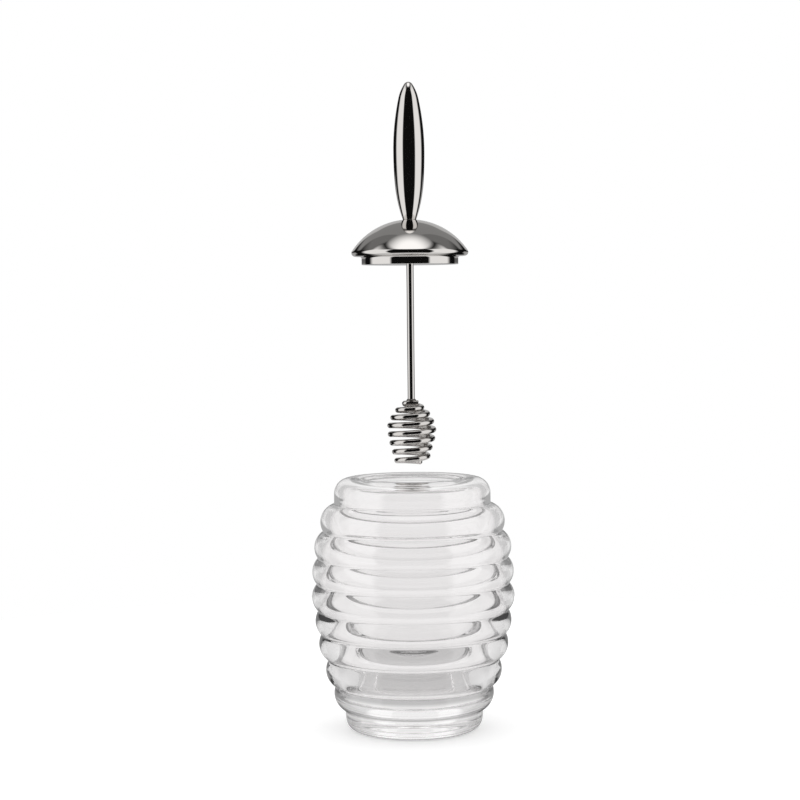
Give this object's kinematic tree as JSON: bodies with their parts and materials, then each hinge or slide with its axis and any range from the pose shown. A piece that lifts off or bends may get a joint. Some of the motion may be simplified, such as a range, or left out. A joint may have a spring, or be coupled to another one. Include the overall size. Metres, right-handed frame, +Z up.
{
  "type": "honey dispenser",
  "caption": "Rippled beehive-shaped clear glass honey jar with a polished steel lid that carries a spindle handle above and a coiled wire dipper on a rod below.",
  "frame": {"origin": "centre of the jar's flat base, on the axis that jar, lid and dipper share", "axes": "+Z up along that axis, towards the handle's tip; the object is round about it, so +X and +Y only place the coil: its tail lies along X and its cut end points to +X"},
  "size_m": [0.0904, 0.0904, 0.2882],
  "materials": {
    "clear_glass": "clear blown soda-lime glass, fire-polished",
    "polished_steel": "stainless steel, turned and mirror polished",
    "steel_wire": "drawn stainless steel wire, polished",
    "weld_metal": "stainless steel weld, brushed"
  },
  "bodies": {
    "jar": {"glass_jar": "clear_glass"},
    "lid": {"lid": "polished_steel"},
    "dipper": {"handle": "polished_steel", "dipper_rod": "steel_wire", "dipper_coil": "steel_wire", "weld_bead": "weld_metal"}
  },
  "joints": [
    {"name": "lid_lift", "type": "slide", "parent": "jar", "child": "lid", "axis": [0, 0, 1], "range_m": [-0.0984, 0]},
    {"name": "dipper_turn", "type": "hinge", "parent": "lid", "child": "dipper", "pos_m": [0, 0, 0.2108], "axis": [0, 0, 1], "continuous": true}
  ]
}
